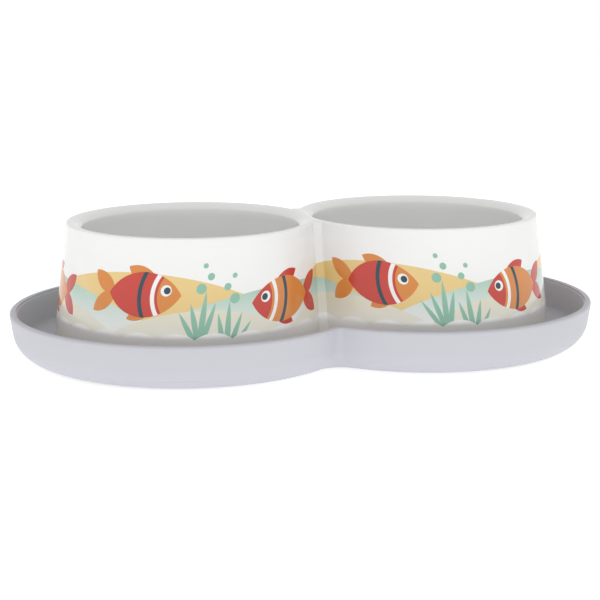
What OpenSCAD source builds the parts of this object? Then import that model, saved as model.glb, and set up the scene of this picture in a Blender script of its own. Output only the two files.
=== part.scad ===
// Double pet bowl. One white moulding holds two wells side by side on a tapered skirt, a printed
// label wraps the skirt, and the whole stands in a shallow tray with eight rubber feet under it.
// The origin lies on the table under the middle of the object. X runs from well to well, Z is up.

/* [Bowl] */
// Outer radius of the rim of each lobe
rim_r = 62; // [56:0.5:68]
// How far each lobe's rim reaches past the middle of the bowl
lobe_overlap = 2.5; // [1.5:0.5:4]
// Height of the bowl from its foot to the top of its rim
bowl_h = 63.2; // [55:0.2:75]
// Width of the level line along the top of the rim
rim_flat = 0.3; // [0.2:0.1:1]
// Rounding of the rim's outer edge
rim_edge_r = 1.1; // [0.6:0.1:2]
// Slope of the skirt from the vertical, in degrees
skirt_draft = 7.6; // [4:0.2:10]
// Wall thickness of the bowl
shell_t = 2; // [1.6:0.1:2.6]
// Rounding of the bead along the skirt's foot
bead_r = 1; // [0.6:0.1:1.6]
// How far the bead stands out from the skirt
bead_out = 0.8; // [0.3:0.1:1]

/* [Wells] */
// Depth of each well below the rim
well_depth = 46; // [35:1:50]
// Radius of the rolled lip
lip_r = 9; // [7:0.5:11]
// Angle that the rolled lip turns through before it dips into the well
lip_turn = 38; // [30:1:45]
// Radius at which the lip dips into the well's wall
lip_edge_r = 3; // [2.8:0.1:4]
// Slope of the well's wall from the vertical, in degrees
well_draft = 5; // [2:0.5:8]
// Rounding between the well's wall and its floor
well_corner_r = 14; // [8:1:18]

/* [Waist] */
// Half the depth of the waist between its two flat strips, at the rim
web_half_depth = 24.2; // [20:0.1:28]
// Slope of the flat strip from the vertical, in degrees
web_tilt = 15.5; // [10:0.5:18]

/* [Label] */
// Thickness of the printed label, which lies flush in the skirt
label_t = 0.3; // [0.2:0.1:0.6]
// Distance from the rim down to the label's upper edge
label_top_gap = 4.5; // [3:0.5:12]
// Distance from the bead up to the label's lower edge
label_foot_gap = 1.2; // [0.6:0.2:8]
// Width of the seam where the label's two ends meet at the back
label_seam_w = 0.5; // [0.3:0.1:1.5]

/* [Tray] */
// How far the tray's rim stands out round the bowl's foot
tray_margin = 19.4; // [16:0.2:26]
// How far the centre of each round end lies outside that of the well above it
tray_end_shift = 0.7; // [0:0.1:3]
// Height of the tray from its underside to its rim
tray_h = 22.5; // [18:0.5:28]
// Slope of the tray's wall from the vertical, in degrees
tray_draft = 7.6; // [3:0.2:10]
// Rounding of the rim's outer edge
tray_edge_r = 1.2; // [0.6:0.1:1.4]
// Width of the rim's top
tray_rim_w = 3; // [2.6:0.1:3.6]
// Rounding of the rim's inner edge
tray_inner_edge_r = 0.4; // [0.2:0.1:0.7]
// Depth of the small step inside the rim
step_drop = 1.3; // [0.8:0.1:2.5]
// Width of the small step inside the rim
step_w = 0.7; // [0.4:0.1:1.2]
// Thickness of the tray's floor
floor_t = 3.5; // [3:0.1:4.5]
// Large rounding under the tray's wall
tray_corner_r = 13.5; // [10:0.5:15]
// Rounding between the tray's floor and wall
floor_corner_r = 6; // [4:0.5:8]
// Rounding of the notch at the tray's waist
tray_waist_r = 3; // [1:0.5:12]

/* [Locating rib] */
// Height of the rib that keeps the bowl in place
rib_h = 2; // [1:0.5:4]
// Thickness of the rib
rib_t = 1.6; // [1:0.2:3]
// Gap between the rib and the inside of the skirt
rib_gap = 0.8; // [0.4:0.1:2]

/* [Feet] */
// Diameter of a rubber foot
foot_d = 11; // [8:1:14]
// How far a foot stands out under the tray
foot_proud = 1; // [0.6:0.1:2]
// Depth of the socket that holds a foot
socket_depth = 1.4; // [1:0.1:1.8]
// Gap round a foot in its socket
socket_gap = 0.15; // [0.1:0.05:0.4]
// Rounding of a foot's lower edge
foot_edge_r = 0.5; // [0.2:0.1:0.6]
// Distance from a foot to the edge of the flat under the tray
foot_inset = 6; // [4:0.5:10]
// Direction of a foot from the centre of its round end, in degrees from the X axis
foot_turn = 50; // [35:1:60]
// Distance from a foot to the shallow panel under each round end
panel_gap = 8.5; // [4:0.5:20]
// Depth of the shallow panel
panel_depth = 1; // [0.4:0.1:1.2]

/* [Hidden] */
$fn = 120;
// Straight steps in every arc of a section
arc_steps = 8;
// Overrun of every cut past the face that it opens
over = 1;
// Half the length of the waist's block, whose ends lie inside the two lobes
web_half_w = 10;
// How far the tray's notches bite into its round ends, as a share of their rounding
notch_bite_share = 0.1;

// The centres of the bowl's lobes and of the tray's round ends lie at these distances from the middle
lobe_half_gap = rim_r - lobe_overlap;
tray_half_gap = lobe_half_gap + tray_end_shift;

// Heights above the table
tray_z = foot_proud;
floor_z = tray_z + floor_t;
tray_top = tray_z + tray_h;
rim_z = floor_z + bowl_h;
bead_z = floor_z + bead_r;
label_z = bead_z + bead_r + label_foot_gap;
label_top = rim_z - label_top_gap;
well_z = rim_z - well_depth;

// Centres of the roundings in the bowl's half section, as [radius, height]
rim_edge_z = rim_z - rim_edge_r;
crest_r = rim_r - rim_edge_r - rim_flat;
lip_c = [crest_r, rim_z - lip_r];
lip_end_c = lip_c + (lip_r - lip_edge_r) * dir(90 + lip_turn);
well_corner_z = well_z + well_corner_r;
well_corner_c = [well_wall_r(well_corner_z) - well_corner_r / cos(well_draft), well_corner_z];

// Centres of the roundings in the tray's half section
tray_rim_r = side_x(rim_r, skirt_draft, 0, bead_z) + bead_out + tray_margin;
tray_edge_c = [tray_rim_r - tray_edge_r, tray_top - tray_edge_r];
tray_corner_z = tray_z + tray_corner_r;
tray_corner_c = [tray_wall_r(tray_corner_z) - tray_corner_r / cos(tray_draft), tray_corner_z];
rim_inner_r = tray_rim_r - tray_rim_w;
inner_edge_c = [rim_inner_r + tray_inner_edge_r, tray_top - tray_inner_edge_r];
step_z = tray_top - step_drop;
floor_corner_z = floor_z + floor_corner_r;
floor_corner_c = [tray_inside_r(floor_corner_z) - floor_corner_r / cos(tray_draft), floor_corner_z];

// The tray's notches are turned round axes at this distance from the middle
notch_reach = tray_rim_r + tray_waist_r;
notch_y = sqrt(pow(notch_reach - notch_bite_share * tray_waist_r, 2) - pow(tray_half_gap, 2));

// The middles of the eight feet, and the shallow panel inside their ring
foot_ring_r = tray_corner_c[0] - foot_inset - foot_d / 2;
panel_r = foot_ring_r - foot_d / 2 - panel_gap;
foot_places = [for (end = [-1, 1], turn = [foot_turn, 180 - foot_turn, 180 + foot_turn, -foot_turn])
    [end * tray_half_gap, 0] + foot_ring_r * dir(turn)];

// Unit direction at an angle
function dir(a) = [cos(a), sin(a)];

// Points along an arc
function arc(centre, r, from, to) =
    [for (i = [0 : arc_steps]) centre + r * dir(from + (to - from) * i / arc_steps)];

// Distance from the middle to a sloping side at a height, moved inwards by inset; reach is its
// distance at the rim
function side_x(reach, draft, inset, z) =
    reach - rim_edge_r + (rim_edge_r - inset) / cos(draft) + (rim_edge_z - z) * tan(draft);

// Radius of the well's wall at a height
function well_wall_r(z) = lip_end_c[0] - lip_edge_r / cos(well_draft) + (z - lip_end_c[1]) * tan(well_draft);

// Radius of the tray's wall at a height, outside and inside
function tray_wall_r(z) = tray_edge_c[0] + tray_edge_r / cos(tray_draft) + (z - tray_edge_c[1]) * tan(tray_draft);
function tray_inside_r(z) = rim_inner_r - step_w + (z - step_z) * tan(tray_draft);

// The bead along the foot of a sloping side, up to where its arc meets the slope
function bead_points(reach, draft) =
    arc([side_x(reach, draft, 0, bead_z) + bead_out - bead_r, bead_z], bead_r, -90,
        draft + acos((bead_r - bead_out) * cos(draft) / bead_r));

// Half the outline of the skirt, moved inwards by inset, from its foot at the height low to its top
function half_outline(reach, draft, inset, low) = concat(
    [[0, low]],
    inset == 0 ? bead_points(reach, draft) : [[side_x(reach, draft, inset, low), low]],
    inset < rim_edge_r
        ? arc([reach - rim_edge_r, rim_edge_z], rim_edge_r - inset, draft, 90)
        : [[side_x(reach, draft, inset, rim_z - inset), rim_z - inset]],
    [[0, rim_z - inset]]
);

// The outer form of the bowl without its wells: two tapered lobes and the flat strips of the waist
module skirt_form(inset, low) {
    for (turn = [0, 180])
        rotate([0, 0, turn]) translate([lobe_half_gap, 0, 0])
            rotate_extrude() polygon(half_outline(rim_r, skirt_draft, inset, low));
    half = half_outline(web_half_depth, web_tilt, inset, low);
    rotate([90, 0, 90])
        translate([0, 0, -web_half_w])
            linear_extrude(2 * web_half_w)
                polygon(concat(half, [for (i = [len(half) - 2 : -1 : 1]) [-half[i][0], half[i][1]]]));
}

// The space in the two wells, moved outwards by grow, with the rolled lip round each mouth
module wells(grow) {
    section = concat(
        [[0, well_z - grow]],
        arc(well_corner_c, well_corner_r + grow, -90, -well_draft),
        arc(lip_end_c, lip_edge_r - grow, 180 - well_draft, 90 + lip_turn),
        arc(lip_c, lip_r - grow, 90 + lip_turn, 90),
        [[crest_r, rim_z + over], [0, rim_z + over]]
    );
    for (turn = [0, 180])
        rotate([0, 0, turn]) translate([lobe_half_gap, 0, 0]) rotate_extrude() polygon(section);
}

// The band of height that the label covers, open where its two ends meet at the back of the waist
module label_band() {
    reach = lobe_half_gap + side_x(rim_r, skirt_draft, 0, floor_z) + over;
    difference() {
        translate([-reach, -reach, label_z]) cube([2 * reach, 2 * reach, label_top - label_z]);
        translate([-label_seam_w / 2, 0, label_z - over])
            cube([label_seam_w, reach + over, label_top - label_z + 2 * over]);
    }
}

module bowl_shell() {
    color("white")
        difference() {
            skirt_form(0, floor_z);
            difference() {
                label_band();
                skirt_form(label_t, floor_z);
            }
            wells(0);
            difference() {
                skirt_form(shell_t, floor_z - over);
                wells(shell_t);
            }
        }
}

module printed_label() {
    color("wheat")
        difference() {
            intersection() {
                skirt_form(0, floor_z);
                label_band();
            }
            skirt_form(label_t, floor_z);
        }
}

// Two round ends turned from a side, and a waist between them whose notches are turned from it too
module two_ends(side, low, high) {
    for (turn = [0, 180])
        rotate([0, 0, turn]) translate([tray_half_gap, 0, 0])
            rotate_extrude() polygon(concat([[0, low]], side, [[side[len(side) - 1][0], high], [0, high]]));
    notch = [for (p = side) [notch_reach - p[0], p[1]]];
    flank = [tray_half_gap, notch_y] / 2;
    difference() {
        translate([0, 0, low])
            linear_extrude(high - low)
                polygon([
                    -flank, [0, -notch_y], [flank[0], -flank[1]],
                    flank, [0, notch_y], [-flank[0], flank[1]]
                ]);
        for (turn = [0, 180])
            rotate([0, 0, turn]) translate([0, notch_y, 0])
                rotate_extrude()
                    polygon(concat(
                        [[0, low - over], [notch[0][0], low - over]],
                        notch,
                        [[notch[len(notch) - 1][0], high + over], [0, high + over]]
                    ));
    }
}

// A low rib inside the skirt's foot, which keeps the bowl in place
module locating_rib() {
    outer_r = side_x(rim_r, skirt_draft, shell_t, floor_z) - rib_gap;
    difference() {
        two_discs(outer_r, floor_z - floor_t / 2, rib_h + floor_t / 2);
        two_discs(outer_r - rib_t, floor_z - floor_t, rib_h + floor_t + over);
    }
}

module two_discs(r, z, h) {
    for (turn = [0, 180])
        rotate([0, 0, turn]) translate([lobe_half_gap, 0, z]) cylinder(r = r, h = h);
}

module tray() {
    outside = concat(
        arc(tray_corner_c, tray_corner_r, -90, -tray_draft),
        arc(tray_edge_c, tray_edge_r, -tray_draft, 90)
    );
    inside = concat(
        arc(floor_corner_c, floor_corner_r, -90, -tray_draft),
        [[tray_inside_r(step_z), step_z], [rim_inner_r, step_z]],
        arc(inner_edge_c, tray_inner_edge_r, 180, 90)
    );
    color([0.8, 0.8, 0.84])
        difference() {
            union() {
                difference() {
                    two_ends(outside, tray_z, tray_top);
                    two_ends(inside, floor_z, tray_top + over);
                }
                locating_rib();
            }
            for (side = [-1, 1])
                translate([side * tray_half_gap, 0, tray_z - over]) cylinder(r = panel_r, h = over + panel_depth);
            for (place = foot_places)
                translate([place[0], place[1], tray_z - over])
                    cylinder(d = foot_d + 2 * socket_gap, h = over + socket_depth);
        }
}

// A rubber foot: a flat disc with a rounded lower edge, seated in its socket
module foot(place) {
    foot_top = foot_proud + socket_depth;
    color([0.85, 0.85, 0.83])
        translate([place[0], place[1], 0])
            rotate_extrude()
                polygon(concat(
                    [[0, 0]],
                    arc([foot_d / 2 - foot_edge_r, foot_edge_r], foot_edge_r, -90, 0),
                    [[foot_d / 2, foot_top], [0, foot_top]]
                ));
}

bowl_shell();
printed_label();
tray();
foot(foot_places[0]);  // foot_1
foot(foot_places[1]);  // foot_2
foot(foot_places[2]);  // foot_3
foot(foot_places[3]);  // foot_4
foot(foot_places[4]);  // foot_5
foot(foot_places[5]);  // foot_6
foot(foot_places[6]);  // foot_7
foot(foot_places[7]);  // foot_8
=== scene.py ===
"""Looks of a double pet bowl that stands in its drip tray.

The packed model is the frame. Each visible moulding is a surface worked out from that frame and from the
sizes in the property groups, and each finish is a set of shader nodes. All lengths are in metres, apart
from those on the print, which are in millimetres.
"""

import math

import bmesh
import bpy
import numpy as np
from bpy.props import FloatProperty, FloatVectorProperty, PointerProperty, StringProperty
from mathutils import Matrix, Vector, geometry


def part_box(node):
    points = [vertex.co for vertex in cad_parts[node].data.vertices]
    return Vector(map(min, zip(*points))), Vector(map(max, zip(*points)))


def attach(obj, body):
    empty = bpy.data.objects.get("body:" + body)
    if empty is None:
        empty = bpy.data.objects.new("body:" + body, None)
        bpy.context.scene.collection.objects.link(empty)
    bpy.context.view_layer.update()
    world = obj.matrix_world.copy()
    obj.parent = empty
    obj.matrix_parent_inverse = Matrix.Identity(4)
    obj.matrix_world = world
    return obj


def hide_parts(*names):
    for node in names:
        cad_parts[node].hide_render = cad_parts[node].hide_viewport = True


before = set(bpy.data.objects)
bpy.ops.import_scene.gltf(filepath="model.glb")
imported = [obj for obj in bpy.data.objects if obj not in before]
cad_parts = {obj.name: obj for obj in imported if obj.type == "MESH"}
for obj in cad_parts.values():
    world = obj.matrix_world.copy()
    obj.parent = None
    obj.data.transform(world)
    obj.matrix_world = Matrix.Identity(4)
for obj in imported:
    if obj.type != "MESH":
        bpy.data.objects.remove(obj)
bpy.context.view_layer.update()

bl_info = {
    "name": "Double pet bowl",
    "version": (1, 0, 0),
    "blender": (4, 5, 0),
    "location": "3D View > Sidebar > Pet bowl",
    "description": "Builds the bowl, its printed label, its tray and the studio round the packed model",
    "category": "Object",
}

BOWL_LOW, BOWL_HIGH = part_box("bowl_shell")
LABEL_LOW, LABEL_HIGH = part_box("printed_label")
TRAY_LOW, TRAY_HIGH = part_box("tray")
FOOT_BOXES = [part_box(name) for name in sorted(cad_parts) if name.startswith("foot")]

# Each lobe of the bowl and each end of the tray is round, so half a box's length less half its depth gives
# their centres.
LOBE_X = BOWL_HIGH.x - BOWL_HIGH.y
END_X = TRAY_HIGH.x - TRAY_HIGH.y

MM = 0.001
# Points nearer than this are one
WELD_GAP = 1e-7
# Edges sharper than this stay sharp in the shading
SHARP_ANGLE = math.radians(35)
# Number of steps in each kind of line
ARC_STEPS = 10
LOBE_STEPS = 160
STRIP_STEPS = 4
NOTCH_STEPS = 12
WALL_ROWS = 12
CIRCLE_STEPS = 72
# Turns about the bead's centre of its first and last rows, in degrees. The last is just short of the top.
BEAD_TURNS = (-90, 86)
# Least radius of the hollow's dip behind a lip's edge
LEAST_DIP = 1 * MM
# Width of the level ring that keeps a flat floor's shading apart from the rounding beside it
SUPPORT_W = 0.5 * MM
# The values that a noise texture mostly stays between
NOISE_RANGE = (0.35, 0.65)

# The print is ten fish round the bowl, in steps of this many mm. Every second one looks the other way, at the
# second of these heights.
FISH_STEP = 70.4
FISH_HEIGHTS = (34.0, 29.0)
# Leaf shapes as centre, turn in degrees, length and width, from a fish's middle
FISH_BODY = ((0, 0), 0, 36, 21)
FISH_FINS = (
    ((-21, 4.4), 140, 16, 7.5),
    ((-21, -4.4), 220, 16, 7.5),
    ((-1, 9), 155, 17, 7.5),
    ((-1, -8.7), 205, 14, 6),
)
WEED = (
    ((29, -12), 88, 28, 2.8),
    ((31.5, -15), 76, 24, 2.6),
    ((26, -15), 106, 24, 2.6),
    ((23.5, -17), 122, 22, 2.4),
)
# Discs as centre and radius, from a fish's middle
FISH_EYE = ((10.7, 2.2), 2.6)
FISH_PUPIL = ((11.2, 2.2), 1.6)
BUBBLES = (((27, 3), 2.4), ((31, 8.5), 1.7), ((28, 13.5), 1.2))
# The face and the stripes end at circles round a point before the fish's mouth
STRIPE_CENTRE = (21, 0)
FACE_RADIUS = 14.3
WHITE_STRIPE_RADIUS = 17.7
DARK_STRIPE_RADIUS = 24.0
STRIPE_WIDTH = 2.0
# Half the width of an ink's soft edge
INK_EDGE = 0.05

# Half the length of the floor's sides
FLOOR_REACH = 3.0
# The point that the lamps look at
LAMP_TARGET = Vector((0, 0, 30 * MM))
# Directions of the low lamps from the camera's, in degrees
LOW_LAMP_TURNS = (-88, -44, 0, 44, 88)
# Height of the light table over the floor
TABLE_GAP = 0.5 * MM
# Height of the direction from which the room lights the most
KEY_ELEVATION = math.radians(40)
# The room's strength changes while the cosine of the angle to that direction goes from minus this to this
KEY_SPREAD = 0.5


def length(name, description, default):
    """A length in metres."""
    return FloatProperty(name=name, description=description, default=default, unit="LENGTH", precision=5)


def angle(name, description, degrees):
    """An angle, given in degrees."""
    return FloatProperty(name=name, description=description, default=math.radians(degrees), subtype="ANGLE")


def amount(name, description, default):
    """A plain number."""
    return FloatProperty(name=name, description=description, default=default)


def colour(name, description, code):
    """A colour as an sRGB hex code."""
    return StringProperty(name=name, description=description, default=code)


class BowlSizes(bpy.types.PropertyGroup):
    """Sizes of the white moulding"""

    rim_edge: length("Rim edge", "Rounding of the rim's outer edge", 1.1 * MM)
    rim_flat: length("Rim flat", "Width of the level line along the top of the rim", 0.3 * MM)
    skirt_slope: angle("Skirt slope", "Slope of the skirt from the vertical", 7.6)
    wall: length("Wall", "Wall thickness", 2 * MM)
    bead: length("Bead", "Rounding of the bead along the foot", 1 * MM)
    bead_out: length("Bead stands out", "How far the bead stands out from the skirt", 0.8 * MM)
    well_depth: length("Well depth", "Depth of each well below the rim", 46 * MM)
    lip: length("Lip", "Radius of the rolled lip", 9 * MM)
    lip_reach: length("Lip reach", "Distance from the axis of the lip's roll to the well's wall", 7.092 * MM)
    lip_edge: length("Lip edge", "Radius at which the lip dips into the well", 1.5 * MM)
    well_slope: angle("Well slope", "Slope of the well's wall from the vertical", 5)
    well_corner: length("Well corner", "Rounding between the well's wall and floor", 14 * MM)
    waist_half_depth: length("Waist half depth", "Half the depth of the waist at the rim", 24.2 * MM)
    waist_slope: angle("Waist slope", "Slope of the flat strips from the vertical", 15.5)
    colour: colour("Colour", "Colour of the white plastic", "F2F2F0")


class LabelSizes(bpy.types.PropertyGroup):
    """Sizes and colours of the printed film"""

    thickness: length("Thickness", "Thickness of the film", 0.3 * MM)
    seam: length("Seam", "Width of the seam at the back of the waist", 0.5 * MM)
    line: length("Edge line", "Width of the fine line round the film's edges", 0.006 * MM)
    ground: colour("Ground", "Unprinted film", "F2F2F0")
    sand: colour("Sand", "Sand yellow ink", "E8CB8B")
    cream: colour("Cream", "Cream ink", "E3DFCC")
    teal: colour("Teal", "Light teal ink", "8FBFA9")
    coral: colour("Coral", "Coral red ink", "C8463C")
    orange: colour("Orange", "Orange ink", "D98A45")
    ink: colour("Dark", "Dark teal ink", "2F4A55")


class TraySizes(bpy.types.PropertyGroup):
    """Sizes of the tray"""

    slope: angle("Slope", "Slope of the wall from the vertical", 7.6)
    rim_edge: length("Rim edge", "Rounding of the rim's outer edge", 1.2 * MM)
    rim_width: length("Rim width", "Width of the rim's top", 3 * MM)
    inner_edge: length("Inner edge", "Rounding of the rim's inner edge", 0.4 * MM)
    step_drop: length("Step drop", "Depth of the small step inside the rim", 1.3 * MM)
    step_width: length("Step width", "Width of the small step inside the rim", 0.7 * MM)
    step_edge: length("Step edge", "Rounding of the small step", 0.2 * MM)
    corner: length("Corner", "Large rounding under the wall", 13.5 * MM)
    floor_corner: length("Floor corner", "Rounding between floor and wall", 6 * MM)
    waist: length("Waist", "Rounding of the notch at the waist, at the rim", 3 * MM)
    rib_height: length("Rib height", "Height of the rib that keeps the bowl in place", 2 * MM)
    rib_thickness: length("Rib thickness", "Thickness of the rib", 1.6 * MM)
    rib_gap: length("Rib gap", "Gap between the rib and the skirt", 0.8 * MM)
    socket_gap: length("Socket gap", "Gap round a foot in its socket", 0.15 * MM)
    panel_gap: length("Panel gap", "Distance from a foot to the shallow panel", 8.5 * MM)
    panel_depth: length("Panel depth", "Depth of the shallow panel", 1 * MM)
    colour: colour("Colour", "Colour of the tray's plastic", "C3C3CA")
    foot_colour: colour("Foot colour", "Colour of the rubber feet", "CFCFCA")


class StudioSizes(bpy.types.PropertyGroup):
    """The camera and the light"""

    azimuth: angle("Azimuth", "Direction of the view from +Y, seen from above", -13.46)
    elevation: angle("Elevation", "Height of the camera above the level", 11.97)
    roll: angle("Roll", "Turn of the camera about its own line of sight", 0.02)
    distance: length("Distance", "Distance from the camera to its target", 715.5 * MM)
    target: FloatVectorProperty(
        name="Target",
        description="The point that the camera looks at",
        default=(-3.08 * MM, 0, 23.15 * MM),
        subtype="TRANSLATION",
    )
    focal: amount("Focal length", "Focal length on a 36 mm wide sensor, in mm", 82.86)
    floor_colour: colour("Floor colour", "Colour of the floor", "F8F8F8")
    floor_glow: amount("Floor glow", "How much brighter than lit the floor shows", 0.55)
    front_light: amount("Front light", "Strength of the room in front and above", 0.64)
    back_light: amount("Back light", "Strength of the room behind", 0.12)
    low_light: amount("Low light", "Power of each low lamp, in watts", 1.8)
    top_light: amount("Top light", "Power of the top lamp, in watts", 2.0)
    table_light: amount("Table light", "Power of the light table, in watts", 7.0)


def arc(centre, radius, start, end, steps=ARC_STEPS):
    """Points at centre + radius (cos a, sin a), with a in degrees going from start to end in equal steps."""
    a = np.radians(np.linspace(start, end, steps + 1))
    return np.stack([centre[0] + radius * np.cos(a), centre[1] + radius * np.sin(a)], axis=1)


def grid(points, wrap=False):
    """The points of a grid of rows and columns, and its four-sided faces. With wrap, the last column joins
    the first."""
    rows, columns = points.shape[:2]
    index = np.arange(rows * columns).reshape(rows, columns)
    if wrap:
        index = np.concatenate([index, index[:, :1]], axis=1)
    faces = np.stack([index[:-1, :-1], index[:-1, 1:], index[1:, 1:], index[1:, :-1]], axis=-1)
    return points.reshape(-1, points.shape[-1]), faces.reshape(-1, 4)


def ring(centre, radius, height):
    """A level circle of points: centre + radius (cos a, sin a) at one height."""
    a = np.linspace(0, 2 * np.pi, CIRCLE_STEPS, endpoint=False)
    x = centre[0] + radius * np.cos(a)
    return np.stack([x, centre[1] + radius * np.sin(a), np.full_like(a, height)], axis=1)


def flat(loops, keep):
    """A level patch between closed loops: the triangles of their constrained Delaunay mesh whose middles
    keep(x, y) accepts."""
    points = np.concatenate(loops)
    edges = []
    for loop in loops:
        start = edges[-1][0] + 1 if edges else 0
        index = np.arange(start, start + len(loop))
        edges += np.stack([index, np.roll(index, -1)], axis=1).tolist()
    found = geometry.delaunay_2d_cdt(points[:, :2].tolist(), edges, [], 0, WELD_GAP)
    triangles, sources = np.array(found[2]), np.array(found[3])
    points = points[sources[:, 0]]
    middles = points[triangles].mean(axis=1)
    triangles = triangles[keep(middles[:, 0], middles[:, 1])]
    return points, triangles[:, [0, 1, 2, 2]]


def mirrored(patch):
    """The patch on the other side of the plane x = 0, with its faces turned to match. A fourth column, the
    place along the print, changes sign too."""
    points, faces = patch
    signs = np.array([-1, 1, 1, -1, 1])[: points.shape[1]]
    return points * signs, faces[:, ::-1]


def weld(patches):
    """Joins patches at the points that they share, and returns points, four-sided and three-sided faces."""
    points = np.concatenate([p for p, _ in patches])
    starts = np.cumsum([0] + [len(p) for p, _ in patches[:-1]])
    faces = np.concatenate([f + start for (_, f), start in zip(patches, starts)])
    key = np.round(points[:, :3] / WELD_GAP).astype(np.int64)
    _, first, place = np.unique(key, axis=0, return_index=True, return_inverse=True)
    faces = place.reshape(-1)[faces]
    # A face is a triangle if two neighbouring corners are one point. It has no area if two opposite ones are.
    twin = faces == np.roll(faces, -1, axis=1)
    crossed = (faces[:, 0] == faces[:, 2]) | (faces[:, 1] == faces[:, 3])
    quads = faces[(twin.sum(axis=1) == 0) & ~crossed]
    thin = (twin.sum(axis=1) == 1) & ~crossed
    return points[first], quads, faces[thin][~twin[thin]].reshape(-1, 3)


def add_piece(name, patches, material, body, node):
    """Welds patches into a closed piece with outward faces, which stands for a node and rides on a body."""
    points, quads, triangles = weld(patches)
    mesh = bpy.data.meshes.new(name)
    mesh.from_pydata(points[:, :3].tolist(), [], quads.tolist() + triangles.tolist())
    shape = bmesh.new()
    shape.from_mesh(mesh)
    bmesh.ops.recalc_face_normals(shape, faces=shape.faces)
    shape.to_mesh(mesh)
    shape.free()
    mesh.polygons.foreach_set("use_smooth", np.ones(len(mesh.polygons), bool))
    mesh.set_sharp_from_angle(angle=SHARP_ANGLE)
    if points.shape[1] > 3:
        corner_points = np.zeros(len(mesh.loops), np.int32)
        mesh.loops.foreach_get("vertex_index", corner_points)
        mesh.uv_layers.new(name="print").data.foreach_set("uv", points[corner_points, 3:].ravel())
    mesh.materials.append(material)
    piece = bpy.data.objects.new(name, mesh)
    bpy.context.scene.collection.objects.link(piece)
    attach(piece, body)
    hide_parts(node)


def skirt_side(sizes, heights, inset, on_lobe):
    """Distances of the skirt's side at some heights, moved inwards by inset. A lobe's is a radius from its
    centre and a strip's a depth from the middle. The side is a slope, with a round edge at the rim and a
    bead at the foot."""
    slope = sizes.skirt_slope if on_lobe else sizes.waist_slope
    edge_height = BOWL_HIGH.z - sizes.rim_edge
    bead_height = BOWL_LOW.z + sizes.bead
    if on_lobe:
        foot = BOWL_HIGH.y - sizes.bead_out
        edge = foot - (edge_height - bead_height) * math.tan(slope) - sizes.rim_edge / math.cos(slope)
    else:
        edge = sizes.waist_half_depth - sizes.rim_edge
    sloped = edge + (sizes.rim_edge - inset) / math.cos(slope) + (edge_height - heights) * math.tan(slope)
    rise = np.clip(heights - edge_height, 0, sizes.rim_edge)
    rounded = edge + np.sqrt(sizes.rim_edge**2 - rise**2)
    side = np.where((rise > sizes.rim_edge * math.sin(slope)) & (inset == 0), rounded, sloped)
    bead_side = edge + sizes.rim_edge / math.cos(slope) + (edge_height - bead_height) * math.tan(slope)
    drop = np.clip(np.abs(heights - bead_height), 0, sizes.bead)
    bead = bead_side + sizes.bead_out - sizes.bead + np.sqrt(sizes.bead**2 - drop**2)
    on_bead = (inset == 0) & (np.abs(heights - bead_height) <= sizes.bead + WELD_GAP)
    return np.where(on_bead, np.maximum(bead, np.where(heights > bead_height, side, 0)), side)


def skirt_outline(sizes, heights, inset, seam=0.0):
    """Half of the skirt's outline at each height, as a grid of points with x, y, z and the distance along
    the print.

    It runs along the front strip from the middle to the edge at the angle asin(depth / radius) from the
    line of centres, round the lobe, and back along the strip behind, which ends at the seam. The distance
    along the print is that at half the label's height, so a column of the grid keeps it from top to bottom.
    """
    radius = skirt_side(sizes, heights, inset, True)[:, None]
    depth = skirt_side(sizes, heights, inset, False)[:, None]
    edge = np.arcsin(depth / radius)
    edge_x = LOBE_X - radius * np.cos(edge)
    share = np.linspace(0, 1, STRIP_STEPS + 1)[None, :]
    turn_share = np.linspace(0, 1, LOBE_STEPS + 1)[None, 1:-1]
    turn = np.pi + edge + (2 * np.pi - 2 * edge) * turn_share
    back = share[:, ::-1]
    x = [edge_x * share, LOBE_X + radius * np.cos(turn), seam + (edge_x - seam) * back]
    y = [-depth + 0 * share, radius * np.sin(turn), depth + 0 * back]
    middle = np.array([(LABEL_LOW.z + LABEL_HIGH.z) / 2])
    mid_radius = skirt_side(sizes, middle, 0 * middle, True)[0]
    mid_edge = math.asin(skirt_side(sizes, middle, 0 * middle, False)[0] / mid_radius)
    strip = LOBE_X - mid_radius * math.cos(mid_edge)
    round_length = mid_radius * (2 * math.pi - 2 * mid_edge)
    along = [strip * share, strip + round_length * turn_share, 2 * strip + round_length - strip * back]
    x, y = np.concatenate(x, axis=1), np.concatenate(y, axis=1)
    along = np.concatenate(along, axis=1) + 0 * x
    return np.stack([x, y, heights[:, None] + 0 * x, along], axis=-1)


def bead_heights(sizes):
    """Heights of the bead's rows, at equal turns from its lowest line to near its highest."""
    turn = np.radians(np.linspace(*BEAD_TURNS, ARC_STEPS + 1))
    return BOWL_LOW.z + sizes.bead + sizes.bead * np.sin(turn)


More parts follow.
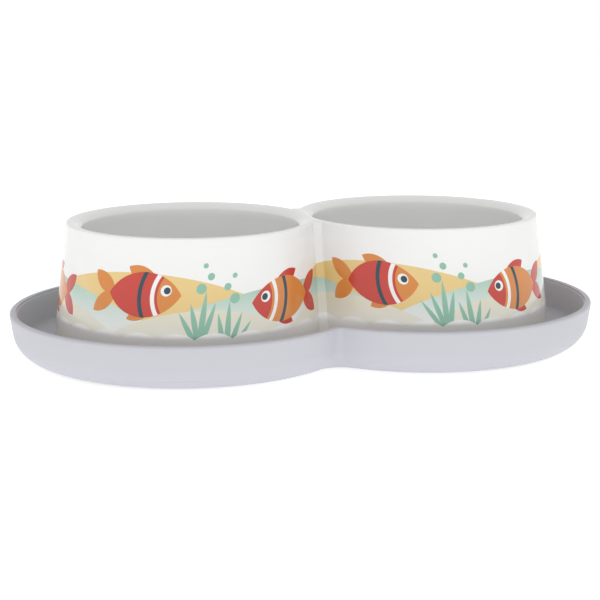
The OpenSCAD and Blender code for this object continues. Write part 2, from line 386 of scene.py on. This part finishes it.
def well_rows(sizes, top, grow):
    """A well's half section as radii and heights: the rolled lip, the dip of its edge, the sloping wall,
    the large rounding and the flat floor, all moved outwards by grow.

    The dip's centre lies at roll - dip radius from the roll's axis and at one dip radius from the wall, so
    its direction is acos((reach - dip radius) / (roll - dip radius)) away from square to the wall.
    """
    edge = skirt_side(sizes, np.array([BOWL_HIGH.z]), np.zeros(1), True)[0]
    slope = sizes.well_slope
    roll = sizes.lip - grow
    dip_radius = max(sizes.lip_edge - grow, LEAST_DIP)
    axis = np.array([edge - sizes.rim_flat, top - sizes.lip])
    turn = np.pi - slope - math.acos((sizes.lip_reach - grow - dip_radius) / (roll - dip_radius))
    dip = axis + (roll - dip_radius) * np.array([math.cos(turn), math.sin(turn)])
    rise = sizes.well_corner - sizes.well_depth + sizes.lip
    corner_in = (sizes.lip_reach + sizes.well_corner - rise * math.sin(slope)) / math.cos(slope)
    rows = np.concatenate([
        arc(axis, roll, 90, math.degrees(turn), 2 * ARC_STEPS),
        arc(dip, dip_radius, math.degrees(turn), 180 - math.degrees(slope)),
        arc(axis + [-corner_in, rise], sizes.well_corner + grow, -math.degrees(slope), -90, 2 * ARC_STEPS),
    ])
    floor = rows[-1, 1]
    return np.concatenate([rows, [[rows[-1, 0] - SUPPORT_W, floor], [0, floor]]])


def well_surface(outline, rows):
    """The level land inside an outline, and the well sunk in it, round one lobe's centre.

    Each column looks from the lobe's centre to a point of the outline, or of the middle plane between the
    outline's two ends, where the two lobes meet. A row's radius is the section's, or the column's reach
    where that is less, and the height there is the section's at that radius.
    """
    crest_turn = math.acos(min(1, LOBE_X / rows[0, 0]))
    end_turn = math.atan2(outline[-1, 1], LOBE_X)
    across = np.concatenate([
        np.linspace(end_turn, crest_turn, ARC_STEPS + 1),
        np.linspace(crest_turn, -crest_turn, 2 * ARC_STEPS + 1)[1:-1],
        np.linspace(-crest_turn, -end_turn, ARC_STEPS + 1),
    ])[1:-1]
    middle = np.stack([0 * across, LOBE_X * np.tan(across)], axis=1)
    ends = np.concatenate([outline[:, :2], middle]) - [LOBE_X, 0]
    reach = np.hypot(ends[:, 0], ends[:, 1])
    radius = np.minimum(np.concatenate([[np.inf], rows[:, 0]])[:, None], reach)
    height = np.interp(radius, rows[::-1, 0], rows[::-1, 1])
    height[1:] = np.where(rows[:, :1] > reach, height[1:], rows[:, 1:])
    height[0, : len(outline)] = outline[:, 2]
    x = LOBE_X + radius * ends[:, 0] / reach
    y = radius * ends[:, 1] / reach
    return grid(np.stack([x, y, height], axis=-1), wrap=True)


def make_shell(sizes, label):
    """The white moulding: skirt, bead, recess for the label, rim and wells, and the hollow under them."""
    low, high = LABEL_LOW.z, LABEL_HIGH.z
    edge_height = BOWL_HIGH.z - sizes.rim_edge
    edge_turn = np.radians(np.linspace(math.degrees(sizes.skirt_slope), 90, ARC_STEPS + 1))
    heights = [[BOWL_LOW.z], bead_heights(sizes), [low], np.linspace(low, high, WALL_ROWS), [high]]
    heights = np.concatenate(heights + [edge_height + sizes.rim_edge * np.sin(edge_turn)])
    recessed = (heights >= low) & (heights <= high)
    first, last = np.flatnonzero(recessed)[[0, -1]]
    inset = np.where(recessed, label.thickness, 0.0)
    inset[[first, last]] = 0
    inset[0] = sizes.wall
    outside = skirt_outline(sizes, heights, inset)[:, :, :3]
    under = np.linspace(BOWL_LOW.z, BOWL_HIGH.z - sizes.wall, WALL_ROWS)
    inside = skirt_outline(sizes, under, np.full(len(under), sizes.wall))[:, :, :3]
    half = [
        grid(outside),
        grid(inside),
        well_surface(outside[-1], well_rows(sizes, BOWL_HIGH.z, 0)),
        well_surface(inside[-1], well_rows(sizes, BOWL_HIGH.z, sizes.wall)),
    ]
    patches = half + [mirrored(patch) for patch in half]
    add_piece("shell", patches, moulded_abs(sizes), "bowl", "bowl_shell")


def make_label(sizes, label):
    """The printed film: a band as thick as its recess, with a fine line left open along all its edges."""
    low, high = LABEL_LOW.z + label.line, LABEL_HIGH.z - label.line
    rise = np.linspace(low, high, WALL_ROWS)
    heights = np.concatenate([rise, rise[::-1], rise[:1]])
    inset = np.concatenate([0 * rise, 0 * rise + label.thickness - label.line, [0]])
    band = skirt_outline(sizes, heights, inset, label.seam / 2)
    band = np.concatenate([band, heights[:, None, None] - low + 0 * band[:, :, :1]], axis=-1)
    end = np.stack([band[:WALL_ROWS, -1], band[WALL_ROWS:-1, -1][::-1]], axis=1)
    half = [grid(band), grid(end)]
    patches = half + [mirrored(patch) for patch in half]
    add_piece("label", patches, printed_film(label), "bowl", "printed_label")


def tray_outline(sizes, radii, heights):
    """Half of the tray's outline at each row. It runs from the middle of the front notch round an end to
    the back.

    Every row is parallel to the rim: an end is a circle round its centre, and a notch is a circle round a
    point that lies one rim radius and one notch radius from both centres, so their radii always add up to
    that reach.
    """
    reach = TRAY_HIGH.y + sizes.waist
    notch_y = math.sqrt(reach**2 - END_X**2)
    tilt = math.atan2(END_X, notch_y)
    radius = radii[:, None]
    notch = np.linspace(0, tilt, NOTCH_STEPS + 1)[None, :]
    turn = np.linspace(1.5 * np.pi - tilt, 2.5 * np.pi + tilt, LOBE_STEPS + 1)[None, 1:-1]
    notch_x = (reach - radius) * np.sin(notch)
    notch_depth = notch_y - (reach - radius) * np.cos(notch)
    x = np.concatenate([notch_x, END_X + radius * np.cos(turn), notch_x[:, ::-1]], axis=1)
    y = np.concatenate([-notch_depth, radius * np.sin(turn), notch_depth[:, ::-1]], axis=1)
    return np.stack([x, y, heights[:, None] + 0 * x], axis=-1)


def whole_loop(half):
    """The closed loop of a half outline and its mirror image, with no point twice."""
    return np.concatenate([half, (half * [-1, 1, 1])[-2:0:-1]])


def inside_tray(sizes, x, y, radius):
    """Whether points lie inside the tray's outline at that radius: in an end's circle, or between the ends
    and in front of the notch's circle."""
    reach = TRAY_HIGH.y + sizes.waist
    notch_y = math.sqrt(reach**2 - END_X**2)
    in_end = np.hypot(np.abs(x) - END_X, y) < radius
    between = np.abs(x) / END_X + np.abs(y) / notch_y < 1
    return in_end | (between & (np.hypot(x, np.abs(y) - notch_y) > reach - radius))


def rib_outline(radius, height):
    """Half of the outline of two circles round the lobes' centres, joined where they cross in the middle."""
    cross = math.acos(LOBE_X / radius)
    turn = np.linspace(-np.pi + cross, np.pi - cross, LOBE_STEPS + 1)
    return np.stack([LOBE_X + radius * np.cos(turn), radius * np.sin(turn), 0 * turn + height], axis=1)


def inside_rib(x, y, radius):
    """Whether points lie in either of two circles round the lobes' centres."""
    return np.hypot(np.abs(x) - LOBE_X, y) < radius


def tray_rows(sizes):
    """The tray's half section, radii and heights, from its underside round wall and rim to its floor."""
    slope = math.degrees(sizes.slope)
    tangent = math.tan(sizes.slope)
    edge = [TRAY_HIGH.y - sizes.rim_edge, TRAY_HIGH.z - sizes.rim_edge]
    corner_height = TRAY_LOW.z + sizes.corner
    wall = edge[0] + sizes.rim_edge / math.cos(sizes.slope) + (corner_height - edge[1]) * tangent
    corner = [wall - sizes.corner / math.cos(sizes.slope), corner_height]
    inner = TRAY_HIGH.y - sizes.rim_width
    inner_edge = [inner + sizes.inner_edge, TRAY_HIGH.z - sizes.inner_edge]
    step = TRAY_HIGH.z - sizes.step_drop
    step_in = inner - sizes.step_width
    floor_height = BOWL_LOW.z + sizes.floor_corner
    floor_wall = step_in + (floor_height - step) * tangent
    floor_corner = [floor_wall - sizes.floor_corner / math.cos(sizes.slope), floor_height]
    small = sizes.step_edge
    return np.concatenate([
        [[corner[0] - SUPPORT_W, TRAY_LOW.z]],
        arc(corner, sizes.corner, -90, -slope, 2 * ARC_STEPS),
        arc(edge, sizes.rim_edge, -slope, 90),
        arc(inner_edge, sizes.inner_edge, 90, 180),
        arc([inner - small, step + small], small, 0, -90, ARC_STEPS // 2),
        arc([step_in + small, step - small], small, 90, 180 - slope, ARC_STEPS // 2),
        arc(floor_corner, sizes.floor_corner, -slope, -90, 2 * ARC_STEPS),
        [[floor_corner[0] - SUPPORT_W, BOWL_LOW.z]],
    ])


def pocket(centre, radius, low, high):
    """A round pocket in a level underside: its wall between two heights, and its flat end."""
    middle = np.array([[centre[0], centre[1], high]]) + 0 * ring(centre, radius, high)
    return grid(np.stack([ring(centre, radius, low), ring(centre, radius, high), middle]), wrap=True)


def make_tray(sizes, bowl):
    """The tray: wall and rim round two ends and two notches, flat floor with the locating rib, and an
    underside with two shallow panels and eight sockets."""
    rows = tray_rows(sizes)
    wall = tray_outline(sizes, rows[:, 0], rows[:, 1])
    half = [grid(wall)]
    skirt = skirt_side(bowl, np.array([BOWL_LOW.z]), np.array([bowl.wall]), True)[0]
    rib_out = skirt - sizes.rib_gap
    rib_in = rib_out - sizes.rib_thickness
    top = BOWL_LOW.z + sizes.rib_height
    rib = np.stack([
        rib_outline(rib_out, BOWL_LOW.z), rib_outline(rib_out, top), rib_outline(rib_in, top),
        rib_outline(rib_in, BOWL_LOW.z),
    ])
    half.append(grid(rib))
    patches = half + [mirrored(patch) for patch in half]

    def on_floor(x, y):
        outside_rib = inside_tray(sizes, x, y, rows[-1, 0]) & ~inside_rib(x, y, rib_out)
        return outside_rib | inside_rib(x, y, rib_in)

    patches.append(flat([whole_loop(wall[-1]), whole_loop(rib[0]), whole_loop(rib[-1])], on_floor))
    # Each pocket is a centre, a radius and the height of its end. A socket ends at its foot's top, and each
    # panel keeps clear of the feet round it.
    pockets = [
        ((low + high) / 2, (high.x - low.x) / 2 + sizes.socket_gap, high.z) for low, high in FOOT_BOXES
    ]
    foot_ring = max(math.hypot(abs(place.x) - END_X, place.y) for place, _, _ in pockets)
    panel = foot_ring - pockets[0][1] + sizes.socket_gap - sizes.panel_gap
    pockets += [((side * END_X, 0), panel, TRAY_LOW.z + sizes.panel_depth) for side in (-1, 1)]

    def on_underside(x, y):
        kept = inside_tray(sizes, x, y, rows[0, 0])
        for place, radius, _ in pockets:
            kept &= np.hypot(x - place[0], y - place[1]) > radius
        return kept

    loops = [whole_loop(wall[0])] + [ring(place, radius, TRAY_LOW.z) for place, radius, _ in pockets]
    patches.append(flat(loops, on_underside))
    patches += [pocket(place, radius, TRAY_LOW.z, high) for place, radius, high in pockets]
    add_piece("tray_shell", patches, satin_polypropylene(sizes), "tray", "tray")


def linear(code):
    """A hex sRGB colour as linear red, green, blue and alpha."""
    values = np.array([int(code[i : i + 2], 16) for i in (0, 2, 4)]) / 255
    values = np.where(values <= 0.04045, values / 12.92, ((values + 0.055) / 1.055) ** 2.4)
    return (*values.tolist(), 1.0)


def add_node(tree, kind, inputs=None, output=0, **settings):
    """Adds a node with its settings, sets or links its inputs, and returns one of its outputs, if any.

    Inputs go by name, or by number where a node repeats a name. A Mix node mixes the colours 6 and 7 by the
    share 0 into its output 2, and a Map Range node takes its value 0 from between 1 and 2 to between 3 and 4.
    """
    node = tree.nodes.new(kind)
    for name, value in settings.items():
        setattr(node, name, value)
    for key, value in (inputs or {}).items():
        if isinstance(value, bpy.types.NodeSocket):
            tree.links.new(value, node.inputs[key])
        else:
            node.inputs[key].default_value = value
    return node.outputs[output] if node.outputs else None


def new_material(name):
    """An empty node material and its tree."""
    material = bpy.data.materials.new(name)
    material.use_nodes = True
    material.node_tree.nodes.clear()
    return material, material.node_tree


def moulding_bump(tree, point, grain, height):
    """The surface of a mould's steel: a fine noise of that grain, in metres, and that height."""
    noise = add_node(tree, "ShaderNodeTexNoise", {"Vector": point, "Scale": 1 / grain, "Detail": 2.0})
    return add_node(tree, "ShaderNodeBump", {"Height": noise, "Strength": 1.0, "Distance": height})


def mottled(tree, point, patch, low, high):
    """A value that drifts between low and high over patches of that size, in metres."""
    noise = add_node(tree, "ShaderNodeTexNoise", {"Vector": point, "Scale": 1 / patch, "Detail": 3.0})
    start, end = NOISE_RANGE
    return add_node(tree, "ShaderNodeMapRange", {0: noise, 1: start, 2: end, 3: low, 4: high})


def finished(material, surface):
    """The material, with a shader of those inputs as its surface."""
    tree = material.node_tree
    shader = add_node(tree, "ShaderNodeBsdfPrincipled", surface)
    add_node(tree, "ShaderNodeOutputMaterial", {"Surface": shader})
    return material


def moulded_abs(sizes):
    """Injection-moulded ABS from a polished mould. It is bright white with sharp, slightly wavy
    reflections, because such a wall shrinks a little unevenly."""
    material, tree = new_material("moulded_white_abs")
    point = add_node(tree, "ShaderNodeTexCoord", output="Object")
    surface = {
        "Base Color": linear(sizes.colour),
        "Roughness": mottled(tree, point, patch=30 * MM, low=0.07, high=0.11),
        "IOR": 1.54,
        "Normal": moulding_bump(tree, point, grain=6 * MM, height=0.006 * MM),
    }
    return finished(material, surface)


def disc(tree, point, centre, radius):
    """Signed distance to a disc: the distance from its centre, less its radius."""
    reach = add_node(tree, "ShaderNodeVectorMath", {0: point, 1: (*centre, 0)}, "Value", operation="DISTANCE")
    return add_node(tree, "ShaderNodeMath", {0: reach, 1: radius}, operation="SUBTRACT")


def leaf(tree, point, centre, turn, long, wide):
    """Signed distance to a leaf: the overlap of two equal circles, long between its tips and wide across. A
    folded copy of the plane, turned to the leaf's own axes, needs only one circle."""
    radius = (long**2 + wide**2) / (4 * wide)
    own = add_node(
        tree,
        "ShaderNodeMapping",
        {"Vector": point, "Location": (*centre, 0), "Rotation": (0, 0, math.radians(turn))},
        vector_type="TEXTURE",
    )
    folded = add_node(tree, "ShaderNodeVectorMath", {0: own}, operation="ABSOLUTE")
    return disc(tree, folded, (0, wide / 2 - radius), radius)


def combined(tree, shapes, rule):
    """Signed distance to shapes: by the rule MINIMUM to all together, by MAXIMUM to what they share."""
    total = shapes[0]
    for shape in shapes[1:]:
        total = add_node(tree, "ShaderNodeMath", {0: total, 1: shape}, operation=rule)
    return total


def inked(tree, under, shape, ink):
    """Prints an ink over what lies under it where the signed distance is below zero, with a soft edge."""
    cover = add_node(tree, "ShaderNodeMapRange", {0: shape, 1: INK_EDGE, 2: -INK_EDGE, 3: 0.0, 4: 1.0})
    return add_node(tree, "ShaderNodeMix", {0: cover, 6: under, 7: ink}, 2, data_type="RGBA")


def hills(tree, place, height, width, rise, top, shift=0.0):
    """Signed distance to a band with rounded crests along its upper edge: everything below, and a disc on
    each width, the first of them at the shift."""
    moved = add_node(tree, "ShaderNodeMath", {0: place, 1: shift}, operation="SUBTRACT")
    fold = add_node(tree, "ShaderNodeMath", {0: moved, 1: width / 2}, operation="PINGPONG")
    point = add_node(tree, "ShaderNodeCombineXYZ", {0: fold, 1: height})
    radius = (rise**2 + (width / 2) ** 2) / (2 * rise)
    crown = disc(tree, point, (0, top - radius), radius)
    below = add_node(tree, "ShaderNodeMath", {0: height, 1: top - rise}, operation="SUBTRACT")
    return combined(tree, [crown, below], "MINIMUM")


def printed_film(label):
    """Offset-printed polypropylene film, fused into the skirt in the mould. It is as glossy as the plastic
    round it, and its flat inks have crisp edges. The design is fish, weed and bubbles over soft hills and
    waves."""
    material, tree = new_material("printed_polypropylene_film")
    coordinates = add_node(tree, "ShaderNodeUVMap", uv_map="print")
    print_mm = add_node(tree, "ShaderNodeVectorMath", {0: coordinates, 3: 1 / MM}, operation="SCALE")
    place = add_node(tree, "ShaderNodeSeparateXYZ", {0: print_mm}, "X")
    height = add_node(tree, "ShaderNodeSeparateXYZ", {0: print_mm}, "Y")
    shifted = add_node(tree, "ShaderNodeMath", {0: place, 1: FISH_STEP}, operation="DIVIDE")
    number = add_node(tree, "ShaderNodeMath", {0: shifted}, operation="FLOOR")
    odd = add_node(tree, "ShaderNodeMath", {0: number, 1: 2.0}, operation="FLOORED_MODULO")
    middle = add_node(tree, "ShaderNodeMath", {0: number, 1: 0.5}, operation="ADD")
    local = add_node(tree, "ShaderNodeMath", {0: shifted, 1: middle}, operation="SUBTRACT")
    flip = add_node(tree, "ShaderNodeMapRange", {0: odd, 3: FISH_STEP, 4: -FISH_STEP})
    local = add_node(tree, "ShaderNodeMath", {0: local, 1: flip}, operation="MULTIPLY")
    rise = add_node(tree, "ShaderNodeMapRange", {0: odd, 3: FISH_HEIGHTS[0], 4: FISH_HEIGHTS[1]})
    level = add_node(tree, "ShaderNodeMath", {0: height, 1: rise}, operation="SUBTRACT")
    point = add_node(tree, "ShaderNodeCombineXYZ", {0: local, 1: level})
    sand, cream, teal = linear(label.sand), linear(label.cream), linear(label.teal)
    coral, orange, dark = linear(label.coral), linear(label.orange), linear(label.ink)
    white = linear(label.ground)
    body_ink = add_node(tree, "ShaderNodeMix", {0: odd, 6: coral, 7: orange}, 2, data_type="RGBA")
    fin_ink = add_node(tree, "ShaderNodeMix", {0: odd, 6: orange, 7: coral}, 2, data_type="RGBA")

    def by_height(low, high, start, end):
        share = add_node(tree, "ShaderNodeMapRange", {0: height, 1: start, 2: end})
        return add_node(tree, "ShaderNodeMix", {0: share, 6: low, 7: high}, 2, data_type="RGBA")

    sandhill = hills(tree, place, height, width=2 * FISH_STEP, rise=20, top=44, shift=-110)
    wave = hills(tree, place, height, width=2 * FISH_STEP, rise=16, top=36, shift=-30)
    knoll = hills(tree, place, height, width=1.25 * FISH_STEP, rise=12, top=27, shift=12)
    pebble = hills(tree, place, height, width=FISH_STEP / 4, rise=3, top=16.5)
    ink = inked(tree, white, sandhill, sand)
    ink = inked(tree, ink, wave, by_height(white, teal, start=16, end=40))
    ink = inked(tree, ink, knoll, by_height(white, cream, start=2, end=24))
    weed = [leaf(tree, point, *blade) for blade in WEED]
    ink = inked(tree, ink, combined(tree, weed, "MINIMUM"), teal)
    fins = [leaf(tree, point, *fin) for fin in FISH_FINS]
    ink = inked(tree, ink, combined(tree, fins, "MINIMUM"), fin_ink)
    body = leaf(tree, point, *FISH_BODY)
    ink = inked(tree, ink, body, body_ink)
    face = disc(tree, point, STRIPE_CENTRE, FACE_RADIUS)
    ink = inked(tree, ink, combined(tree, [body, face], "MAXIMUM"), fin_ink)
    for radius, stripe in ((WHITE_STRIPE_RADIUS, white), (DARK_STRIPE_RADIUS, dark)):
        within = disc(tree, point, STRIPE_CENTRE, radius)
        nearer = disc(tree, point, STRIPE_CENTRE, radius - STRIPE_WIDTH)
        beyond = add_node(tree, "ShaderNodeMath", {0: nearer, 1: -1.0}, operation="MULTIPLY")
        ink = inked(tree, ink, combined(tree, [within, body, beyond], "MAXIMUM"), stripe)
    ink = inked(tree, ink, disc(tree, point, *FISH_EYE), white)
    ink = inked(tree, ink, disc(tree, point, *FISH_PUPIL), dark)
    bubbles = [disc(tree, point, *bubble) for bubble in BUBBLES]
    ink = inked(tree, ink, combined(tree, bubbles, "MINIMUM"), teal)
    ink = inked(tree, ink, pebble, by_height(cream, white, start=2, end=13))
    point = add_node(tree, "ShaderNodeTexCoord", output="Object")
    surface = {
        "Base Color": ink,
        "Roughness": mottled(tree, point, patch=30 * MM, low=0.08, high=0.12),
        "IOR": 1.49,
        "Normal": moulding_bump(tree, point, grain=6 * MM, height=0.006 * MM),
    }
    return finished(material, surface)


def satin_polypropylene(sizes):
    """Polypropylene, moulded in a fine-blasted mould. It is pale lilac grey with broad soft highlights."""
    material, tree = new_material("satin_polypropylene")
    point = add_node(tree, "ShaderNodeTexCoord", output="Object")
    surface = {
        "Base Color": linear(sizes.colour),
        "Roughness": mottled(tree, point, patch=25 * MM, low=0.46, high=0.54),
        "IOR": 1.49,
        "Specular IOR Level": 0.4,
        # The blasted grain is about 0.05 mm wide, too fine to show, so it is drawn at 0.6 mm.
        "Normal": moulding_bump(tree, point, grain=0.6 * MM, height=0.004 * MM),
    }
    return finished(material, surface)


def soft_rubber(sizes):
    """Moulded thermoplastic rubber. It is pale and matt, with a dusty sheen at grazing angles."""
    material, tree = new_material("soft_grip_rubber")
    point = add_node(tree, "ShaderNodeTexCoord", output="Object")
    surface = {
        "Base Color": linear(sizes.foot_colour),
        "Roughness": mottled(tree, point, patch=3 * MM, low=0.7, high=0.85),
        "IOR": 1.52,
        "Sheen Weight": 0.15,
        "Normal": moulding_bump(tree, point, grain=0.4 * MM, height=0.01 * MM),
    }
    return finished(material, surface)


def dress_feet(sizes):
    """Gives the eight rubber feet, whose solids have the right shape, their rubber."""
    rubber = soft_rubber(sizes)
    for name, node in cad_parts.items():
        if name.startswith("foot"):
            node.data.materials.clear()
            node.data.materials.append(rubber)


def looking(azimuth, elevation, distance, target, roll):
    """The place of a camera or lamp that looks at a target. Azimuth 0 looks along +Y."""
    back = Vector((
        math.sin(azimuth) * math.cos(elevation),
        -math.cos(azimuth) * math.cos(elevation),
        math.sin(elevation),
    ))
    turn = back.to_track_quat("Z", "Y").to_matrix().to_4x4() @ Matrix.Rotation(roll, 4, "Z")
    return Matrix.Translation(target + distance * back) @ turn


def seen_as_background(tree):
    """1 for rays that show the background, to the camera or in a reflection, and 0 for rays that light."""
    path = add_node(tree, "ShaderNodeLightPath", output="Is Camera Ray")
    mirrored_ray, through = [path.node.outputs[name] for name in ("Is Glossy Ray", "Is Transmission Ray")]
    reflected = add_node(tree, "ShaderNodeMath", {0: mirrored_ray, 1: through}, operation="MAXIMUM")
    return add_node(tree, "ShaderNodeMath", {0: path, 1: reflected}, operation="MAXIMUM")


def studio_floor(sizes):
    """Matt white paper. The camera sees it a little brighter than the light makes it, so that it clears to
    white away from the object's shadow."""
    material, tree = new_material("white_paper_floor")
    shown = seen_as_background(tree)
    glow = add_node(tree, "ShaderNodeMath", {0: shown, 1: sizes.floor_glow}, operation="MULTIPLY")
    paper = add_node(tree, "ShaderNodeBsdfDiffuse", {"Color": linear(sizes.floor_colour)})
    light = add_node(tree, "ShaderNodeEmission", {"Strength": glow})
    both = add_node(tree, "ShaderNodeAddShader", {0: paper, 1: light})
    add_node(tree, "ShaderNodeOutputMaterial", {"Surface": both})
    return material


def studio_world(sizes):
    """A white room that lights the object from the front and from above, and less from behind. To the
    camera and in reflections it is plain white on all sides."""
    world = bpy.data.worlds.new("studio")
    world.use_nodes = True
    tree = world.node_tree
    tree.nodes.clear()
    direction = add_node(tree, "ShaderNodeTexCoord", output="Generated")
    front = looking(sizes.azimuth, KEY_ELEVATION, 1, Vector(), 0).translation
    sides = {0: direction, 1: front}
    facing = add_node(tree, "ShaderNodeVectorMath", sides, "Value", operation="DOT_PRODUCT")
    fall = {0: facing, 1: -KEY_SPREAD, 2: KEY_SPREAD, 3: sizes.back_light, 4: sizes.front_light}
    lit = add_node(tree, "ShaderNodeMapRange", fall)
    strength = add_node(tree, "ShaderNodeMapRange", {0: seen_as_background(tree), 3: lit, 4: 1.0})
    background = add_node(tree, "ShaderNodeBackground", {"Color": (1, 1, 1, 1), "Strength": strength})
    add_node(tree, "ShaderNodeOutputWorld", {"Surface": background})
    bpy.context.scene.world = world


def softbox(name, azimuth, power, elevation, distance, width, height):
    """A rectangular lamp that looks at the object from that direction, with angles in radians and lengths
    in metres. It lights the object and leaves no reflection on it."""
    lamp = bpy.data.lights.new(name, "AREA")
    lamp.shape = "RECTANGLE"
    lamp.size = width
    lamp.size_y = height
    lamp.energy = power
    place = bpy.data.objects.new(name, lamp)
    place.matrix_world = looking(azimuth, elevation, distance, LAMP_TARGET, 0)
    place.visible_camera = False
    place.visible_glossy = False
    bpy.context.scene.collection.objects.link(place)


def make_studio(sizes):
    """The floor, the room, the lamps, the light table and the camera."""
    scene = bpy.context.scene
    scene.view_settings.view_transform = "Standard"
    corners = [(x * FLOOR_REACH, y * FLOOR_REACH, 0) for x, y in ((-1, -1), (1, -1), (1, 1), (-1, 1))]
    mesh = bpy.data.meshes.new("floor")
    mesh.from_pydata(corners, [], [(0, 1, 2, 3)])
    mesh.materials.append(studio_floor(sizes))
    floor = bpy.data.objects.new("floor", mesh)
    scene.collection.objects.link(floor)
    studio_world(sizes)
    low_box = {"elevation": math.radians(2.6), "distance": 1.3, "width": 1.02, "height": 0.1}
    for number, turn in enumerate(np.radians(LOW_LAMP_TURNS)):
        softbox(f"low_box_{number + 1}", sizes.azimuth + turn, sizes.low_light, **low_box)
    top_box = {"elevation": math.radians(70), "distance": 1.2, "width": 1.2, "height": 0.8}
    softbox("top_box", sizes.azimuth + math.pi, sizes.top_light, **top_box)
    # The light table lies just over the floor and shines up, as a lit floor does.
    drop = LAMP_TARGET.z - TABLE_GAP
    table_box = {"elevation": -math.pi / 2, "distance": drop, "width": 2.4, "height": 2.4}
    softbox("table_box", sizes.azimuth, sizes.table_light, **table_box)
    camera = bpy.data.cameras.new("camera")
    camera.lens = sizes.focal
    view = bpy.data.objects.new("camera", camera)
    target = Vector(sizes.target)
    view.matrix_world = looking(sizes.azimuth, sizes.elevation, sizes.distance, target, sizes.roll)
    scene.collection.objects.link(view)
    scene.camera = view


class PETBOWL_OT_shell(bpy.types.Operator):
    """Build the white moulding with its two wells"""

    bl_idname = "pet_bowl.shell"
    bl_label = "Bowl shell"

    def execute(self, context):
        make_shell(context.scene.bowl_sizes, context.scene.label_sizes)
        return {"FINISHED"}


class PETBOWL_OT_label(bpy.types.Operator):
    """Build the printed film round the skirt"""

    bl_idname = "pet_bowl.label"
    bl_label = "Printed label"

    def execute(self, context):
        make_label(context.scene.bowl_sizes, context.scene.label_sizes)
        return {"FINISHED"}


class PETBOWL_OT_tray(bpy.types.Operator):
    """Build the tray"""

    bl_idname = "pet_bowl.tray"
    bl_label = "Tray"

    def execute(self, context):
        make_tray(context.scene.tray_sizes, context.scene.bowl_sizes)
        return {"FINISHED"}


class PETBOWL_OT_feet(bpy.types.Operator):
    """Finish the rubber feet"""

    bl_idname = "pet_bowl.feet"
    bl_label = "Feet"

    def execute(self, context):
        dress_feet(context.scene.tray_sizes)
        return {"FINISHED"}


class PETBOWL_OT_studio(bpy.types.Operator):
    """Build the floor, the light and the camera"""

    bl_idname = "pet_bowl.studio"
    bl_label = "Studio"

    def execute(self, context):
        make_studio(context.scene.studio_sizes)
        return {"FINISHED"}


OPERATORS = (PETBOWL_OT_shell, PETBOWL_OT_label, PETBOWL_OT_tray, PETBOWL_OT_feet, PETBOWL_OT_studio)
GROUPS = {
    "bowl_sizes": BowlSizes,
    "label_sizes": LabelSizes,
    "tray_sizes": TraySizes,
    "studio_sizes": StudioSizes,
}


class PETBOWL_PT_panel(bpy.types.Panel):
    """Lists the pieces that can be built"""

    bl_idname = "PETBOWL_PT_panel"
    bl_label = "Double pet bowl"
    bl_space_type = "VIEW_3D"
    bl_region_type = "UI"
    bl_category = "Pet bowl"

    def draw(self, context):
        for operator in OPERATORS:
            self.layout.operator(operator.bl_idname)
        for name, group in GROUPS.items():
            box = self.layout.box()
            box.label(text=group.__doc__)
            for size in group.__annotations__:
                box.prop(getattr(context.scene, name), size)


def register():
    """Adds the classes to Blender, and the sizes to the scene."""
    for group in (*GROUPS.values(), *OPERATORS, PETBOWL_PT_panel):
        bpy.utils.register_class(group)
    for name, group in GROUPS.items():
        setattr(bpy.types.Scene, name, PointerProperty(type=group))


def unregister():
    """Takes the sizes and the classes away again."""
    for name in GROUPS:
        delattr(bpy.types.Scene, name)
    for group in (PETBOWL_PT_panel, *reversed(OPERATORS), *reversed(GROUPS.values())):
        bpy.utils.unregister_class(group)


def main():
    """Adds the classes to Blender and builds everything."""
    register()
    bpy.ops.pet_bowl.shell()
    bpy.ops.pet_bowl.label()
    bpy.ops.pet_bowl.tray()
    bpy.ops.pet_bowl.feet()
    bpy.ops.pet_bowl.studio()


if __name__ == "__main__":
    main()
